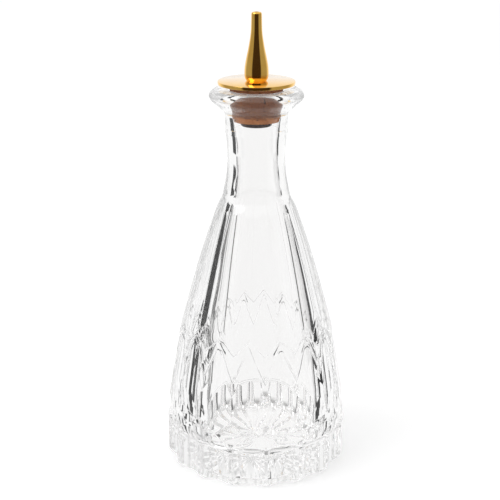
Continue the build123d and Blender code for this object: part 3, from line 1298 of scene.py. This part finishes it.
@dataclass
class Studio:
    """The pale floor, the soft light and the camera at the photograph's angle.

    Camera lengths are in millimetres, and the clipping, the floor and the lamp in metres. The room
    is what the glass shows and the mirror what the metal shows. Behind means the camera's side and
    ahead the far side. A zone comes in along the way away from the camera or along the rise.
    """

    view_turn: float = 16.15
    camera_distance: float = 443.0
    camera_height: float = 224.0
    camera_pitch: float = 17.88
    camera_yaw: float = 0.30
    focal_pixels: float = 1248.0
    image_pixels: float = 500.0
    sensor: float = 36.0
    clip: Range = (0.01, 20.0)
    bounces: int = 32
    cards: tuple[Card, ...] = (
        Card(-60.0, -36.0, 1.0, ((-0.25, -0.27),)),
        Card(57.0, 75.0, 2.0, ((-0.17, -0.20),)),
        Card(-92.0, -64.0, 2.0, ((-0.10, -0.12), (-0.26, -0.24))),
        Card(64.0, 92.0, 2.0, ((-0.10, -0.12), (-0.26, -0.24))),
    )
    card_colour: Colour = grey(0.01)
    room_behind: Colour = grey(0.62)
    room_ahead: Zone = Zone(grey(1.0), (-0.35, 0.05))
    room_above: Zone = Zone(grey(0.7), (0.35, 0.75))
    room_below: Zone = Zone(grey(0.45), (-0.70, -0.90))
    mirror_behind: Colour = (0.05, 0.035, 0.03, 1.0)
    mirror_sides: Zone = Zone(grey(0.42), (-0.80, -0.66))
    mirror_ahead: Zone = Zone(grey(1.0), (0.2, 0.8))
    mirror_above: Zone = Zone(grey(0.9), (0.35, 0.6))
    sky_light: Colour = grey(0.75)
    floor_reach: float = 2.5
    floor_drop: float = 0.05 * MM
    floor_glow: float = 0.55
    floor_colour: Colour = grey(0.6)
    lamp_size: float = 0.8
    lamp_power: float = 4.0
    lamp_place: tuple[float, float, float] = (-0.6, -0.5, 0.9)
    lamp_target: tuple[float, float, float] = (0.0, 0.0, 0.08)

    def camera(self) -> None:
        """Stand the camera where the photograph's ellipses put it."""
        data = bpy.data.cameras.new("camera")
        data.sensor_width = self.sensor
        data.lens = self.focal_pixels / self.image_pixels * self.sensor
        data.clip_start, data.clip_end = self.clip
        eye = bpy.data.objects.new("camera", data)
        bpy.context.scene.collection.objects.link(eye)
        turn = radians(self.view_turn)
        distance = self.camera_distance * MM
        eye.location = (distance * sin(turn), -distance * cos(turn), self.camera_height * MM)
        eye.rotation_euler = (pi / 2 - radians(self.camera_pitch), 0,
                              turn + radians(self.camera_yaw))
        bpy.context.scene.camera = eye

    def flat_way(self, tree: Tree, way: bpy.types.NodeSocket) -> bpy.types.NodeSocket:
        """Give a direction's level part, one unit long."""
        flat = tree.add("VectorMath", {"operation": "MULTIPLY"}, in0=way, in1=(1.0, 1.0, 0.0))
        return tree.add("VectorMath", {"operation": "NORMALIZE"}, in0=flat.outputs[0]).outputs[0]

    def faced(self, tree: Tree, way: bpy.types.NodeSocket,
              azimuth: float) -> bpy.types.NodeSocket:
        """Give the cosine of the level angle between a direction and an azimuth in degrees.

        Args:
            tree: The world's tree.
            way: The ray's direction.
            azimuth: The azimuth, 0 straight away from the camera.

        Returns:
            The cosine's socket.
        """
        angle = radians(self.view_turn - azimuth)
        facing = (-sin(angle), cos(angle), 0.0)
        dot = tree.add("VectorMath", {"operation": "DOT_PRODUCT"}, in0=self.flat_way(tree, way),
                       in1=facing)
        return dot.outputs["Value"]

    def card_shade(self, tree: Tree, way: bpy.types.NodeSocket, rise: bpy.types.NodeSocket,
                   card: Card) -> bpy.types.NodeSocket:
        """Give 1 for directions that meet a card, easing to 0 around it.

        Args:
            tree: The world's tree.
            way: The ray's direction.
            rise: The sine of the ray's elevation.
            card: The card.

        Returns:
            The socket with the card's strength.
        """
        half = (card.right - card.left) / 2
        shade = tree.eased(self.faced(tree, way, (card.left + card.right) / 2),
                           cos(radians(half + card.soft)), cos(radians(half)))
        for fade in card.fades:
            shade = tree.maths("MULTIPLY", shade, tree.eased(rise, *fade))
        return shade

    def world(self) -> None:
        """Light the object softly and show white, with dark studio cards, to metal and glass."""
        world = bpy.data.worlds.new("studio")
        world.use_nodes = True
        bpy.context.scene.world = world
        tree = Tree(world.node_tree)
        way = tree.add("TexCoord").outputs["Generated"]
        rise = tree.add("SeparateXYZ", Vector=way).outputs["Z"]
        away = self.faced(tree, way, 0.0)

        def zoned(colour: Shade, *zones: tuple[Value, Zone]) -> Shade:
            """Lay zones over a colour, each by its own value.

            Args:
                colour: The colour under the zones.
                zones: Pairs of the value that a zone comes in along and the zone.

            Returns:
                The colour with the zones over it.
            """
            for value, zone in zones:
                colour = tree.blend(tree.eased(value, *zone.fade), colour, zone.colour)
            return colour

        room = zoned(self.room_behind, (away, self.room_ahead), (rise, self.room_above),
                     (rise, self.room_below))
        mirrored = zoned(self.mirror_behind, (away, self.mirror_sides), (away, self.mirror_ahead),
                         (rise, self.mirror_above))
        dark, *others = (self.card_shade(tree, way, rise, card) for card in self.cards)
        for shade in others:
            dark = tree.maths("MAXIMUM", dark, shade)
        room = tree.blend(dark, room, self.card_colour)
        path = tree.add("LightPath")
        colour = self.sky_light
        for ray, seen in ((Ray.REFLECTED, mirrored), (Ray.THROUGH_GLASS, room),
                          (Ray.CAMERA, grey(1.0))):
            colour = tree.blend(path.outputs[ray.value], colour, seen)
        background = tree.add("Background", Color=colour, Strength=1.0)
        tree.add("OutputWorld", Surface=background.outputs[0])

    def floor(self) -> None:
        """Lay the pale floor."""
        mesh = bpy.data.meshes.new("floor")
        reach = self.floor_reach
        corners = [(-reach, -reach, 0), (reach, -reach, 0), (reach, reach, 0), (-reach, reach, 0)]
        mesh.from_pydata(corners, [], [(0, 1, 2, 3)])
        floor = mesh_piece("floor", mesh)
        floor.location.z = -self.floor_drop
        material, tree = new_material("floor")
        path = tree.add("LightPath")
        seen = 0.0
        for ray in Ray:
            seen = tree.maths("MAXIMUM", seen, path.outputs[ray.value])
        glow = tree.add("Emission", Color=grey(1.0),
                        Strength=tree.maths("MULTIPLY", seen, self.floor_glow))
        paint = tree.add("BsdfDiffuse", Color=self.floor_colour)
        finish_material(tree, tree.add("AddShader", in0=glow.outputs[0], in1=paint.outputs[0]))
        floor.data.materials.append(material)
        floor.visible_transmission = False
        floor.visible_glossy = False

    def lamps(self) -> None:
        """Hang one soft lamp over the object's left shoulder."""
        data = bpy.data.lights.new("softbox", "AREA")
        data.shape = "SQUARE"
        data.size = self.lamp_size
        data.energy = self.lamp_power
        lamp = bpy.data.objects.new("softbox", data)
        bpy.context.scene.collection.objects.link(lamp)
        lamp.location = self.lamp_place
        aim = Vector(self.lamp_target) - lamp.location
        lamp.rotation_euler = aim.to_track_quat("-Z", "Y").to_euler()

    def build(self) -> None:
        """Set up the stage."""
        self.camera()
        self.world()
        self.floor()
        self.lamps()
        paths = bpy.context.scene.cycles
        paths.max_bounces = paths.glossy_bounces = paths.transmission_bounces = self.bounces
        bpy.context.scene.view_settings.view_transform = "Standard"


def main() -> None:
    """Build the bottle and its dasher, dress them and set the stage."""
    logging.basicConfig(level=logging.INFO, format="%(name)s: %(message)s")
    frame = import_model()
    log.info("frame holds %s", ", ".join(frame["nodes"]))
    glass = ClearGlass().material()
    gold = PolishedGold().material()
    cork = NaturalCork().material()
    dark = DarkMetal().material()
    bottle = GlassBottle().build(glass)
    log.info("%s: %d faces", bottle.name, len(bottle.data.polygons))
    top = DasherTop()
    for piece in (top.spout(gold), top.flange(gold), top.cork(cork), top.collar(dark)):
        log.info("%s: %d faces", piece.name, len(piece.data.polygons))
    Studio().build()


if __name__ == "__main__":
    main()
